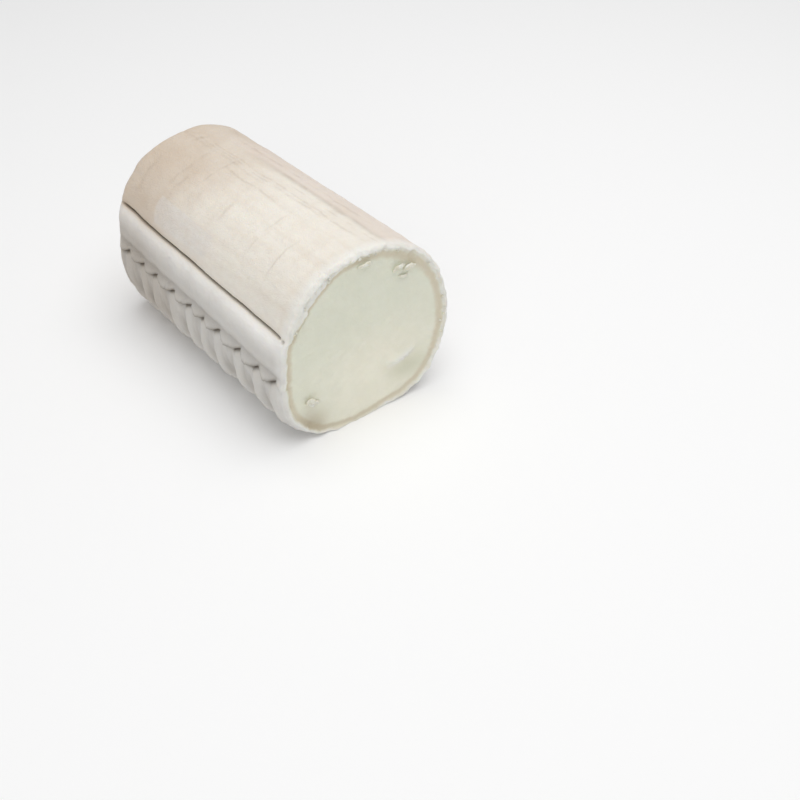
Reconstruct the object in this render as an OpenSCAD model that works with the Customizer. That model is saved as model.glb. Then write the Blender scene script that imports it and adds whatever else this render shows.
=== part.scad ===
// A log of goat cheese, cut across near its middle.
// It lies along X on a flat that its own weight has pressed. The cut faces +X, the shut end -X.
// The pleated flank with the seam is on the -Y side.
// Every point of the skin is given by two numbers: how far it is behind the cut (s, in mm),
// and its angle round the log's axis (a, in degrees from +Y, over the top at 90).

/* [Log] */
// Length along the axis, from the shut end to the middle of the cut
log_l = 118; // [60:1:240]
// Mean radius of the section
mean_r = 37; // [30:0.5:60]
// How far the section's oval stands out along its long diagonal
oval = 1.4; // [0:0.1:4]
// Direction of that diagonal
oval_at = 48.6; // [0:0.1:90]
// How far the section swells at three places round it
trefoil = 1; // [0:0.1:3]
// Direction of the first of the three
trefoil_at = 105.5; // [90:0.5:120]
// How far the section's four corners stand out
corners = 1; // [0:0.1:3]
// Direction of the first corner
corners_at = 47.8; // [40:0.1:50]

/* [Slump] */
// How far the soft log bulges low on its pleated side, at the cut
near_sag = 3.4; // [0:0.1:5]
// The same bulge at the shut end
near_sag_back = 1.8; // [0:0.1:5]
// Direction of that bulge
near_sag_at = 214; // [200:1:230]
// How far it bulges low on the other side
far_sag = 2.2; // [0:0.1:5]
// Direction of that bulge
far_sag_at = 298; // [290:1:330]
// Half angle over which a bulge fades out
sag_w = 22; // [14:1:35]
// Height that the underside has lost where it settled flat
settle = 1.2; // [0.6:0.1:4]

/* [Cut] */
// Angle by which the cut is turned away from square, seen from above
cut_yaw = 6.1; // [0:0.1:15]
// Angle by which the cut leans back at the top
cut_lean = 3.9; // [0:0.1:12]
// Rounding of the rind's edge at the cut
cut_lip = 1.2; // [0.4:0.1:3]

/* [Shut end] */
// Rounding of the edge at the shut end
back_round = 4.5; // [2:0.5:12]
// How far the shut end domes out inside that rounding
back_dome = 1.2; // [0:0.1:4]

/* [Seam] */
// Direction of the seam, at the cut
seam_at = 158.7; // [140:0.1:165]
// Angle by which the seam and the hem climb from the cut to the shut end
climb = 7.6; // [0:0.1:15]
// Share of that climb which comes late, near the shut end
late_climb = 0.4; // [0:0.05:1]
// Width of the seam's groove
seam_w = 1.5; // [0.8:0.1:4]
// Depth of the seam's groove
seam_d = 1.1; // [0.4:0.1:2.5]
// Length of rind between the seam's end and the cut
seam_stop = 5; // [3:0.5:20]
// Length over which the groove runs out at that end
seam_fade = 2; // [1:0.5:6]

/* [Roll] */
// Width of the smooth roll that lies below the seam, at the cut
roll_w = 17; // [8:0.5:21]
// Its width at the shut end
roll_w_back = 14.5; // [8:0.5:21]
// How far the roll stands out
roll_h = 1; // [0:0.1:2.5]

/* [Hem] */
// Distance round the skin from the roll to the hem's highest points, at the cut
hem_gap = 1.2; // [0.6:0.1:5]
// The same distance at the shut end
hem_gap_back = 4.2; // [0.6:0.1:6]
// Length of one scallop along the log
hem_pitch = 11.4; // [7:0.1:18]
// Distance from the cut to the first of the hem's highest points
hem_start = 4; // [0:0.5:18]
// How far each scallop hangs below those points
hem_wave = 2.6; // [0:0.1:4]
// Share of a scallop that slopes down before it turns up again
hem_turn = 0.7; // [0.3:0.05:0.9]
// How far the hem stands above the pleats under it
hem_step = 0.9; // [0.2:0.1:2]

/* [Pleats] */
// Depth of the furrow between two pleats
pleat_d = 1.3; // [0:0.1:2.5]
// How far each pleat's crest lies behind a highest point of the hem
pleat_lag = 2; // [0:0.5:6]
// Distance round the skin that the pleats run down from the hem
pleat_l = 27; // [14:1:34]
// Length over which the furrows deepen below the hem
pleat_open = 10; // [2:0.5:14]
// Length over which the pleats fade out at their lower end
pleat_fade = 8; // [3:0.5:12]

/* [Hidden] */
rings_per_scallop = 5;
pleat_rows = 8;
roll_rows = 4;
hem_edge = 0.3; // mm between the row on the hem and the row just under it
row_angle = 6; // between rows of the smooth part
lip_rings = 2;
back_rings = 4;
dome_rings = 3;
far_side = 360; // the other flank mirrors the hem and pleats, not the seam

// angle round the axis that an arc of d mm covers
function arc(d) = d / mean_r * 180 / PI;
// arc in mm that an angle covers
function run(a) = a * PI / 180 * mean_r;
// difference of two directions, from -180 to 180
function turn(a, b) = (a - b + 540) % 360 - 180;
// smooth rise from 0 to 1 as t goes from 0 to 1
function ease(t) = let (u = max(0, min(1, t))) u * u * (3 - 2 * u);
function swell(a, at, half) = exp(-pow(turn(a, at) / half, 2));
function mix(p, q, t) = p + (q - p) * t;

// radius of the plain section, s behind the cut
function plain_r(a, s) = mean_r
    + oval * cos(2 * (a - oval_at))
    + trefoil * cos(3 * (a - trefoil_at))
    + corners * cos(4 * (a - corners_at))
    + mix(near_sag, near_sag_back, s / log_l) * swell(a, near_sag_at, sag_w)
    + far_sag * swell(a, far_sag_at, sag_w);
rest_z = -(plain_r(270, 0) - settle);

// the seam and what lies below it climb along the log
function seam_a(s) = let (t = s / log_l) seam_at - climb * (t * (1 - late_climb) + t * t * late_climb);
function mirrored(a) = 180 - a;
// the roll's width, and the hem's distance below the seam, s behind the cut
function roll_end(s) = mix(roll_w, roll_w_back, s / log_l);
// place within one scallop, from 0 at a highest point to 1 at the next
function scallop_share(s) = let (t = (s - hem_start) / hem_pitch) t - floor(t);
// a scallop slopes down as a quarter sine and turns up as a quarter cosine
function scallop(s) = let (p = scallop_share(s)) hem_wave * (p < hem_turn
    ? sin(90 * p / hem_turn)
    : cos(90 * (p - hem_turn) / (1 - hem_turn)));
function hem_end(s) = roll_end(s) + mix(hem_gap, hem_gap_back, s / log_l) + scallop(s);
// how far a point lies below the seam, in mm round the skin
function below_seam(a, s) = run(turn(a, seam_a(s)));

function roll(d, s) = d > 0 && d < roll_end(s) ? roll_h * pow(sin(180 * d / roll_end(s)), 0.7) : 0;
function groove(d, s) = -seam_d * exp(-pow(2 * d / seam_w, 2)) * ease((s - seam_stop) / seam_fade);
function hem(d, s) = d > roll_end(s) && d <= hem_end(s)
    ? hem_step * ease((d - roll_end(s)) / (hem_end(s) - roll_end(s))) : 0;
function pleats(d, s) = let (
    below = d - hem_end(s),
    furrow = pow(sin(180 * (s - hem_start - pleat_lag) / hem_pitch), 2)
) below <= 0 || below > pleat_l ? 0
    : -pleat_d * furrow * mix(0.4, 1, ease(below / pleat_open)) * ease((pleat_l - below) / pleat_fade);
function hem_and_pleats(a, s) = let (d = below_seam(a, s)) hem(d, s) + pleats(d, s);

// radius of the finished skin
function skin_r(a, s) = plain_r(a, s)
    + roll(below_seam(a, s), s) + groove(below_seam(a, s), s)
    + hem_and_pleats(a, s) + hem_and_pleats(mirrored(a), s);

// Rows run along the log: they follow the seam, the hem and the pleats on the near flank,
// their mirror image on the far flank, and are spread evenly over the rest.
function band(from, to, n) = [for (i = [0:n - 1]) mix(from, to, i / n)];
function hem_a(s) = seam_a(s) + arc(hem_end(s));
function flank_rows(s) = concat(
    band(seam_a(s) + arc(roll_end(s)), hem_a(s), 3),
    [hem_a(s)],
    band(hem_a(s) + arc(hem_edge), hem_a(s) + arc(pleat_l), pleat_rows),
    [hem_a(s) + arc(pleat_l)]);
function reversed(v) = [for (i = [len(v) - 1:-1:0]) v[i]];
function rows(s) = let (
    near = flank_rows(s),
    far = [for (a = reversed(near)) mirrored(a) + far_side],
    top_from = far[len(far) - 1] - 360,
    top_to = seam_a(s) - arc(2 * seam_w),
    top_n = ceil((seam_at - mirrored(seam_at + arc(roll_w))) / row_angle),
    base_n = ceil(arc(mean_r) / row_angle)
) concat(
    far,
    band(top_from + 360 + row_angle / 3, top_to + 360, top_n),
    [for (w = [-2, -1, -0.5, 0, 0.5, 1]) seam_a(s) + 360 + arc(w * seam_w)],
    band(seam_a(s) + 360 + arc(1.8 * seam_w), seam_a(s) + 360 + arc(roll_end(s)), roll_rows),
    [for (a = near) a + 360],
    [for (i = [1:base_n - 1]) mix(near[len(near) - 1] + 360, far[0] + 360, i / base_n)]);

// A ring is a closed loop of points: s behind the cut, drawn in by inset all round.
// The cut's yaw and lean fade out towards the shut end.
function cut_x(y, z) = y * tan(cut_yaw) - z * tan(cut_lean);
function skin_point(a, s, inset, shrink) = let (
    r = (skin_r(a, s) - inset) * shrink,
    y = r * cos(a),
    z = max(rest_z, r * sin(a))
) [-s + cut_x(y, z) * (1 - s / log_l), y, z];
function ring(s, inset = 0, shrink = 1) = [for (a = rows(s)) skin_point(a, s, inset, shrink)];

// rings stand at the cusps of the scallops and at equal steps between them
ring_step = hem_pitch / rings_per_scallop;
first_ring = hem_start % ring_step;
stations = [for (s = [first_ring:ring_step:log_l - back_round]) if (s > cut_lip + ring_step / 3
    && s < log_l - back_round - ring_step / 3) s];
lip = [for (i = [0:lip_rings - 1]) let (t = 90 * i / lip_rings)
    ring(cut_lip * (1 - cos(t)), cut_lip * (1 - sin(t)))];
barrel = [for (s = concat([cut_lip], stations, [log_l - back_round])) ring(s)];
turn_in = [for (i = [1:back_rings]) let (t = 90 * i / back_rings)
    ring(log_l - back_round * (1 - sin(t)), back_round * (1 - cos(t)))];
domes = [for (i = [1:dome_rings]) let (k = 1 - i / (dome_rings + 1))
    [for (p = ring(log_l, back_round, k)) [p[0] - back_dome * (1 - k * k), p[1], p[2]]]];
loops = concat(lip, barrel, turn_in, domes);

n = len(loops[0]);
skin_points = [for (ring_points = loops) each ring_points];
all_points = concat(skin_points, [[0, 0, 0], [-log_l - back_dome, 0, 0]]);
cut_middle = len(skin_points);
back_middle = cut_middle + 1;
last = len(loops) - 1;
skin_faces = [for (i = [0:last - 1], j = [0:n - 1]) let (
    here = i * n + j,
    beside = i * n + (j + 1) % n
) each [[here, beside, here + n], [beside, beside + n, here + n]]];
cut_faces = [for (j = [0:n - 1]) [cut_middle, (j + 1) % n, j]];
back_faces = [for (j = [0:n - 1]) [back_middle, last * n + j, last * n + (j + 1) % n]];

// the origin is the middle of the log's box, on the surface that it lies on
xs = [for (p = all_points) p[0]];
ys = [for (p = all_points) p[1]];
middle = [(min(xs) + max(xs)) / 2, (min(ys) + max(ys)) / 2, rest_z];

module cheese_log() {
    color([0.90, 0.87, 0.82])
        translate(-middle)
            polyhedron(points = all_points, faces = concat(skin_faces, cut_faces, back_faces));
}

cheese_log();
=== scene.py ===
# %% [markdown]
# # A cut log of goat cheese
#
# The object is a soft log with a bloomy white rind, cut straight across. The skin has a long seam,
# a rounded roll, a scalloped hem and pleats. The cut shows the rind's thickness, a tan line under
# it and the pale paste, and the knife dragged a few curls of rind and crumbs over it.
#
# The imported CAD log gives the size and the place. Here the log is remade as one fine closed
# surface on the same sizes, because the CAD mesh is too coarse for creases of half a millimetre.
# Lengths are in millimetres, directions in degrees, and finished points are turned into metres.

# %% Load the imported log
import bpy
import numpy as np
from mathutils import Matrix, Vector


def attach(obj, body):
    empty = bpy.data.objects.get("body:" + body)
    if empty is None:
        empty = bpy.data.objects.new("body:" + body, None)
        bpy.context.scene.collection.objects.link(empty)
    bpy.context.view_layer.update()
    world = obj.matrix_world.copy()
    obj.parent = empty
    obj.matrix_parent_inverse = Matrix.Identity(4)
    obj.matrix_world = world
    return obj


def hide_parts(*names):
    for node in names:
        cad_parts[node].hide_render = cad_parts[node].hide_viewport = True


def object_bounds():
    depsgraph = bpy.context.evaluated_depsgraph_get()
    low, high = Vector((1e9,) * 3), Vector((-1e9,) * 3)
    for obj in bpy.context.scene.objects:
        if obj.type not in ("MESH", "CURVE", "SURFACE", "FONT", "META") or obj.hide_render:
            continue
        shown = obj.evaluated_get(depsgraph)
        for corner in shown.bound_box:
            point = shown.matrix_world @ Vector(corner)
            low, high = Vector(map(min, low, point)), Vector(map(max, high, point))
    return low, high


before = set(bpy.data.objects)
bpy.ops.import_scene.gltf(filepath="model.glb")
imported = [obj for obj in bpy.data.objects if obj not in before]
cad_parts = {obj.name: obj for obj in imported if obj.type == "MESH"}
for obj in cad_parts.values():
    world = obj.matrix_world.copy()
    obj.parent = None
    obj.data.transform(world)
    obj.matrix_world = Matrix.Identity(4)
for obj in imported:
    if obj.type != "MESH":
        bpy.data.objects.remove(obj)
cad_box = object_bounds()
MM = 0.001
cad_low = np.array(cad_box[0]) / MM
cad_high = np.array(cad_box[1]) / MM
print("CAD nodes:", len(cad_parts), "with a size in mm of", (cad_high - cad_low).round(1))

# %% [markdown]
# ## A few curves
#
# Every shape below is put together from a smooth step, a bell and a sine. Modifiers could bend the
# mesh too, but with functions of whole arrays each crease is one short formula.

# %% Curves
def ease(t):
    """Smooth rise: 0 below t = 0, 1 above t = 1, and 3t^2 - 2t^3 between."""
    t = np.clip(t, 0, 1)
    return t * t * (3 - 2 * t)


def mix(p, q, t):
    """p where t is 0, q where t is 1, and a straight line between."""
    return p + (q - p) * t


def bell(distance, half):
    """A bell curve: 1 at distance 0, and 1/e at half to either side."""
    return np.exp(-((distance / half) ** 2))


def cosine(degrees):
    """Cosine of an angle in degrees."""
    return np.cos(np.radians(degrees))


def sine(degrees):
    """Sine of an angle in degrees."""
    return np.sin(np.radians(degrees))


def turn(angle, at):
    """Difference of two directions, from -180 to 180 degrees."""
    return (angle - at + 180) % 360 - 180


def swell(angle, at, half):
    """A bell curve round the log, with its top at the direction at."""
    return bell(turn(angle, at), half)


print("ease and bell at a half:", ease(0.5), round(float(bell(0.5, 1.0)), 3))

# %% [markdown]
# ## The section
#
# A log of soft cheese isn't round. It leans a little, its corners are slightly square, and its
# underside has settled flat and pushed the flanks out. A cylinder could be sculpted to that. Here
# the radius is a formula of the direction round the axis, so that every later crease can be added
# to it. Direction 0 is +Y and 90 is the top.

# %% Radius of the plain log
log_l = 118.0
mean_r = 37.0
# Crests round the log, height in mm, and the direction of one crest.
section_waves = ((2, 1.4, 48.6), (3, 1.0, 105.5), (4, 1.0, 47.8))
near_sag_at = 214
far_sag_at = 298
sag_half = 22
# Bulge of the near flank at the cut and at the shut end, and of the far flank.
near_sag = (3.4, 1.8)
far_sag = 2.2
settle = 1.2
back_dome = 1.2


def plain_radius(angle, behind):
    """Mean radius, plus cosine waves round the log for its lean and its corners, plus a bell-shaped
    bulge low on each flank. behind is the distance behind the cut."""
    radius = mean_r + far_sag * swell(angle, far_sag_at, sag_half)
    radius = radius + mix(*near_sag, behind / log_l) * swell(angle, near_sag_at, sag_half)
    for crests, height, crest_at in section_waves:
        radius = radius + height * cosine(crests * (angle - crest_at))
    return radius


rest_z = settle - float(plain_radius(270.0, 0.0))
axis_at_cut = np.array([cad_low[0] + log_l + back_dome, 0.0, -rest_z])
print("middle of the cut, mm:", axis_at_cut.round(2))

# %% [markdown]
# ## Noise for uneven things
#
# Nothing on food is even, so most shapes get some noise. Blender has noise textures, but a mesh
# made with numpy needs its own. This one adds up cosine waves whose directions and phases come
# from a seed. It is smooth, has no seam round the log, and is the same in each run.

# %% Noise
def waves(points, length, seed, count=20):
    """Smooth noise of about -1 to 1 at each point: the sum of count cosine waves, each about
    length mm long, in directions and phases drawn from the seed."""
    draw = np.random.default_rng(seed)
    ways = draw.normal(size=(3, count))
    ways *= draw.uniform(0.7, 1.4, count) / np.linalg.norm(ways, axis=0)
    phases = draw.uniform(0, 2 * np.pi, count)
    return np.cos(points @ (ways * 2 * np.pi / length) + phases).sum(axis=-1) / np.sqrt(1.6 * count)


def layered(points, layers):
    """Sum of noises. Each layer is its height in mm, its wave length in mm and its seed."""
    return sum(height * waves(points, length, seed) for height, length, seed in layers)


def uneven(number, low, high, seed):
    """A value from low to high for each whole number, the same for the same number."""
    values = np.random.default_rng(seed).uniform(low, high, 64)
    return values[np.mod(number, len(values)).astype(int)]


print("noise at three points:", waves(np.eye(3), 10, 2).round(2))

# %% [markdown]
# ## Lines along the flank
#
# The flank carries four things below one another. The seam is a narrow dark slot that climbs
# towards the shut end. Under it lies a smooth roll that ends in a soft crease. Below the crease
# hangs a hem of small tabs, each lower at its back end, and under the hem the skin is pleated. All
# are measured round the skin from the seam, so they climb together.

# %% Lines along the flank
seam_at = 158.7
climb = 7.6
late_climb = 0.4
# Degrees of waver, and degrees of phase for each mm.
seam_waver = ((0.25, 9.0), (0.12, 23.0))
# Widths at the cut and at the shut end.
roll_w = (17.0, 15.8)
hem_gap = (1.2, 3.0)
hem_pitch = 11.4
hem_start = 4.0
hem_wave = 2.6
hem_turn = 0.7
hem_heights = (0.75, 1.2)
# Place behind the cut, half width and size of each shift of the scallops.
scallop_shifts = ((14.0, 6.0, -0.9), (45.0, 9.0, 2.9), (87.0, 6.0, 1.8))


def run(degrees):
    """Arc in mm that an angle covers on the mean radius."""
    return np.radians(degrees) * mean_r


def seam_angle(behind):
    """The seam's direction: it climbs from seam_at, partly in proportion to the distance behind the
    cut and partly to its square, with a slight waver."""
    t = behind / log_l
    waver = sum(size * sine(behind * rate) for size, rate in seam_waver)
    return seam_at - climb * mix(t, t * t, late_climb) + waver


def roll_end(behind):
    """Distance from the seam down to the crease that ends the roll."""
    return mix(*roll_w, behind / log_l)


def scallop_share(behind, start):
    """Place within one scallop, from 0 at a high point to 1 at the next, and the scallop's number.
    Bell curves shift the scallops along the log, so their lengths differ."""
    shift = sum(size * bell(behind - at, half) for at, half, size in scallop_shifts)
    count = (behind - start - shift) / hem_pitch
    return count - np.floor(count), np.floor(count)


def hem_end(behind, start):
    """Distance from the seam down to the hem: each scallop slopes down, half evenly and half as a
    smooth rise, and turns up again as a quarter cosine, by its own height."""
    share, number = scallop_share(behind, start)
    down = mix(share / hem_turn, ease(share / hem_turn), 0.5)
    up = cosine(90 * (share - hem_turn) / (1 - hem_turn))
    height = hem_wave * uneven(number, *hem_heights, 5)
    gap = mix(*hem_gap, behind / log_l)
    return roll_end(behind) + gap + height * np.where(share < hem_turn, down, up)


print("seam at the cut and at the shut end, degrees:", seam_angle(np.array([0.0, log_l])).round(1))

# %% [markdown]
# ## Roll and seam
#
# The roll is a soft rounded fold of rind, fullest just under the seam. A sculpted roll wouldn't
# follow the seam when a size changes. So each part is a short curve across the flank times a curve
# along it, and gives a height above the plain section.

# %% Relief of roll and seam
roll_h = 2.0
roll_at_cut = 0.5
roll_lean = 0.65
far_roll_power = 1.6
valley_depth = 0.5
valley_half = 1.7
dip_depth = 1.2
dip_above = (0.6, 1.4)
dip_below = (1.0, 2.2)
seam_depth = 1.8
seam_half = 0.55
seam_stop = 3.6
dot_at = (2.1, 0.5)
dot_depth = 1.5
dot_half = 0.85


def roll_relief(below, behind, seam):
    """A sine hump from the seam to the crease, lower at the cut, and a bell-shaped valley along the
    crease. The hump is steepest under the seam where seam is 1, and starts softly where it is 0."""
    across = np.clip(below / roll_end(behind), 0, 1)
    full = mix(roll_at_cut, 1.0, ease((behind - 1) / 8))
    hump = sine(180 * across ** mix(1.0, roll_lean, seam)) ** mix(far_roll_power, 1.0, seam)
    return roll_h * full * hump - valley_depth * bell(below - roll_end(behind), valley_half)


def dip_relief(below, behind):
    """The skin turns down into the seam: a bell curve with its own depth share and half width above
    and below the seam. It starts a little behind the cut."""
    depth = dip_depth * np.where(below > 0, dip_below[0], dip_above[0])
    half = np.where(below > 0, dip_below[1], dip_above[1])
    return -depth * bell(below, half) * ease((behind - 1.5) / 6)


def seam_relief(below, behind):
    """The open seam: a slot with steep sides that runs out before the cut, and beyond its end a
    small round pit."""
    slot = seam_depth * np.exp(-(np.abs(below / seam_half) ** 3)) * ease((behind - seam_stop) / 1.2)
    from_dot = np.hypot(below - dot_at[1], behind - dot_at[0])
    return -slot - dot_depth * np.exp(-((from_dot / dot_half) ** 4))


print("roll's middle over its crease, mm:", roll_relief(np.array([8.0, 16.4]), 60.0, 1.0).round(2))

# %% [markdown]
# ## Hem and pleats
#
# The tabs of the hem are thin lips of rind, and each throws a shadow into the gap under it. A
# texture could draw that shadow, but at a slant the hem stands out, so tabs and gaps are real.
# Each pleat hangs from one scallop, as a narrow ridge beside a wide furrow.

# %% Relief of hem and pleats
tab_h = 1.3
tab_heights = (0.8, 1.25)
slot_depth = 1.4
slot_half = 0.9
pit_at = 1.2
pit_half = (1.6, 1.1)
pleat_l = 27.0
pleat_depth = 2.1
pleat_depths = (0.7, 1.15)
pleat_bend = 0.8
ridge_at = 0.19
ridge_h = 0.8
ridge_half = 1.4
wrinkle_layers = ((0.24, 4.2, 8), (0.15, 2.0, 9))
flank_reach = 52


def undercut(share):
    """How deep the gap under the hem is along one scallop: full at its high point and on its
    slope, and about half where the hem turns up."""
    return mix(1.0, 0.55, ease((share - 0.66) / 0.16)) * mix(0.6, 1.0, ease(share / 0.08))


def hem_relief(below, behind, start):
    """Tabs: a rise from crease to hem, highest in the middle of each scallop. Under the hem a slot
    with a bell-shaped section, and a pit at each high point. Both are weak at the cut."""
    crease = roll_end(behind)
    hem = hem_end(behind, start)
    share, number = scallop_share(behind, start)
    begun = ease((behind - 1.0) / 4)
    rise = ease((below - crease) / (hem - crease))
    middle = sine(180 * share ** 0.8) ** 0.7
    tabs = tab_h * rise * mix(0.25, uneven(number, *tab_heights, 6), middle)
    tabs = np.where((below > crease) & (below <= hem), tabs, 0) * mix(0.4, 1.0, begun)
    under = below - hem
    slot = slot_depth * undercut(share) * bell(np.maximum(under, 0), slot_half) * (under > 0)
    pit = bell(under, pit_half[1]) * bell(share * hem_pitch - pit_at, pit_half[0])
    return tabs - (slot + pit) * begun


def pleat_relief(below, behind, start):
    """A bell-shaped ridge and a squared sine furrow for each scallop. Furrows open below the hem,
    each to its own depth. The pleats bend with noise and fade out downwards."""
    under = below - hem_end(behind, start)
    flat_place = np.stack([behind, below, 0 * below], axis=-1)
    bent = behind + pleat_bend * waves(flat_place, 17, 10) * ease(under / 9)
    share, number = scallop_share(bent, start)
    from_ridge = (share - ridge_at + 0.5) % 1 - 0.5
    ridge = ridge_h * bell(from_ridge * hem_pitch, ridge_half) * mix(1.0, 0.4, ease(under / 20))
    furrow = pleat_depth * sine(180 * from_ridge) ** 2 * uneven(number, *pleat_depths, 7)
    furrow = furrow * mix(0.2, 1.0, ease((under - 3) / 13))
    return (ridge - furrow) * ease((pleat_l - under) / 9) * (under > 0)


def wrinkles(below, behind):
    """Fine wrinkles down the flank: noise on coordinates squeezed to a fifth downwards, weak on
    the roll and stronger below its crease."""
    place = np.stack([behind, 0.2 * below, 0 * below], axis=-1)
    strength = mix(0.4, 1.2, ease((below - roll_end(behind)) / 2)) * ease((below - 0.8) / 2)
    return layered(place, wrinkle_layers) * strength * ease((flank_reach - below) / 8)


def flank_relief(below, behind, start, seam):
    """Everything between the seam and the underside, added up. seam is 1 on the flank that has the
    open seam, and 0 on the other."""
    relief = roll_relief(below, behind, seam) + seam * dip_relief(below, behind)
    relief = relief + hem_relief(below, behind, start) + pleat_relief(below, behind, start)
    return (relief + wrinkles(below, behind)) * (below < flank_reach)


print("hem below the seam at both ends, mm:", hem_end(np.array([0.0, log_l]), hem_start).round(1))

# %% [markdown]
# ## Creases of the smooth skin
#
# The top looks smooth, but it has a few faint creases along the log, some that run round it near
# the shut end, and broad shallow dents. A bump texture would show neither on the outline nor in
# the exported mesh, so they are real height.

# %% Relief of the smooth skin
crease_half = 0.8
round_crease_half = 0.9
crease_waver = ((0.7, 60, 14), (0.25, 16, 15))
# Direction, depth, and where it starts and stops behind the cut.
long_creases = ((87.5, 0.20, 55, 118), (71.0, 0.24, -5, 90), (62.0, 0.10, 10, 118),
                (101.0, 0.07, 20, 70))
# Distance behind the cut, depth, and the middle and half width of its arc in degrees.
round_creases = ((106.0, 0.20, 108, 24), (93.0, 0.20, 104, 16), (88.5, 0.12, 118, 14),
                 (79.0, 0.09, 96, 22), (58.5, 0.12, 108, 16), (34.0, 0.07, 112, 20))
dent_layers = ((0.20, 34, 11), (0.12, 13, 12), (0.06, 4.5, 13), (0.03, 2.2, 16))


def crease_line(distance, half, depth):
    """A shallow bell-shaped valley beside a line, with a slight ridge next to it."""
    return depth * (0.5 * bell(distance - 1.6 * half, half) - bell(distance, half))


def top_creases(angle, behind, points):
    """Sum of the long creases and of those that run round, all wavering with noise. Each fades
    along its own length, and all stop at the seam and at the far flank."""
    relief = 0
    waver = layered(points, crease_waver)
    for at, depth, start, stop in long_creases:
        along = ease((behind - start) / 14) * ease((stop - behind) / 14)
        relief = relief + crease_line(run(turn(angle, at)) + waver, crease_half, depth) * along
    for at, depth, middle, half in round_creases:
        line = crease_line(behind - at + 1.6 * waver, round_crease_half, depth)
        relief = relief + line * swell(angle, middle, half)
    return relief * ease((150 - angle) / 12) * ease((angle - 20) / 12)


print("creases of the top:", len(long_creases), "along and", len(round_creases), "round")

# %% [markdown]
# ## The skin's surface
#
# The surface is a grid: rings along the log times rows round it. Rows that share out the circle
# evenly would cross the seam and the hem and make them jagged. Here the rows hang on anchors that
# follow those lines, close where the shape is sharp and wide where it is smooth.

# %% Rows that follow the seam and the hem
far_start = hem_start + 5.0
# Anchors in mm below the seam, below the crease and below the hem, and the rows between them.
seam_anchors = (-14.0, -2.0, -0.95, -0.4, 0.4, 0.95, 2.2)
crease_anchors = (-1.6, 0, 0.4)
hem_anchors = (-0.6, -0.12, 0.12, 1.7, pleat_l)
seam_rows = [18, 4, 3, 4, 3, 4]
roll_rows = 26
flank_rows = [5, 2, 6, 3, 2, 5, 44]
under_rows = 52
far_roll_rows = 18
top_rows = 118


def mirrored(angle):
    """The same height on the other flank."""
    return 180 - angle


def flank_anchors(behind, start):
    """Distances below the seam of the anchors along crease and hem."""
    crease = roll_end(behind)
    hem = hem_end(behind, start)
    return [crease + d for d in crease_anchors] + [hem + d for d in hem_anchors]


def row_angles(behind):
    """Directions of all rows at each ring: an array of rings by rows. Anchors run once round the
    log, and the rows between two anchors are evenly spaced."""
    degree = 180 / np.pi / mean_r
    seam = seam_angle(behind)
    near = [seam + d * degree for d in seam_anchors]
    near += [seam + d * degree for d in flank_anchors(behind, hem_start)]
    far_seam = mirrored(seam) + 360
    far = [far_seam - d * degree for d in reversed(flank_anchors(behind, far_start))]
    far += [far_seam - seam_anchors[-1] * degree]
    anchors = np.array(near + far + [near[0] + 360])
    counts = seam_rows + [roll_rows] + flank_rows + [under_rows]
    counts += flank_rows[::-1] + [far_roll_rows, top_rows]
    spots = np.concatenate([k + np.arange(n) / n for k, n in enumerate(counts)])
    whole = np.floor(spots).astype(int)
    part = (spots - whole)[:, None]
    return mix(anchors[whole], anchors[whole + 1], part).T


print("rows round the log:", row_angles(np.array([0.0])).shape[1])

# %% [markdown]
# ## Rings from end to end
#
# The whole log is one sheet of rings: out across the cut, over its edge, along the skin, round the
# back edge and in again. Each ring has a distance behind the cut, an inset from the skin, and a
# share by which it is shrunk towards the axis. One point closes each end. Rings are closest near
# the edge of the cut, where rind, tan line and torn rim are within a few millimetres.

# %% Rings
cut_lip = 1.2
back_round = 4.5
rim_zone = 7.0
face_rings = 26
rim_rings = 20
lip_rings = 5
skin_rings = 178
round_rings = 7
end_rings = 22

face_shares = np.arange(1, face_rings + 1) / face_rings
across_rim = np.linspace(rim_zone, 0, rim_rings + 1)[1:]
lip_turn = np.linspace(0, 90, lip_rings + 1)[1:]
along_skin = np.linspace(cut_lip, log_l - back_round, skin_rings + 1)[1:]
round_turn = np.linspace(0, 90, round_rings + 1)[1:]
end_shares = np.arange(end_rings - 1, 0, -1) / end_rings

# Distance behind the cut, inset and share of each group of rings.
ring_groups = (
    (0, cut_lip + rim_zone, face_shares),
    (0, cut_lip + across_rim, 1),
    (cut_lip * (1 - cosine(lip_turn)), cut_lip * (1 - sine(lip_turn)), 1),
    (along_skin, 0, 1),
    (log_l - back_round * (1 - sine(round_turn)), back_round * (1 - cosine(round_turn)), 1),
    (log_l, back_round, end_shares),
)
ring_values = [np.stack(np.broadcast_arrays(*group)) for group in ring_groups]
ring_behind, ring_inset, ring_share = np.concatenate(ring_values, axis=1)
print("rings:", len(ring_behind))

# %% [markdown]
# ## The cut
#
# A knife leaves soft cheese nearly flat. The rind at its edge is drier, crumbles and stands
# slightly proud, and the tan line inside it is softer and sinks. At the upper left the knife pushed
# the rind over the paste as a thick fold with a shadow under it, and below the middle it left a
# ridge of paste. Each is a height on the cut, worked out from the distance to a line.

# %% Height of the cut
smear_line = np.array([(7.0, -16.6), (13.5, -15.2), (20.5, -12.6)])
smear_h = 1.6
# Widths of the smear on its soft side and on its steep side.
smear_half = (1.4, 0.45)
band_h = 0.45
band_gap = 0.2
tan_sink = 0.25
fold_h = 1.0
fold_shadow = 0.5
fold_layers = ((0.35, 7, 22), (0.30, 2.6, 23))
flat_layers = ((0.22, 26, 24), (0.09, 9, 25), (0.05, 3.2, 26), (0.03, 1.6, 27))
drag_h = 0.06


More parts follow.
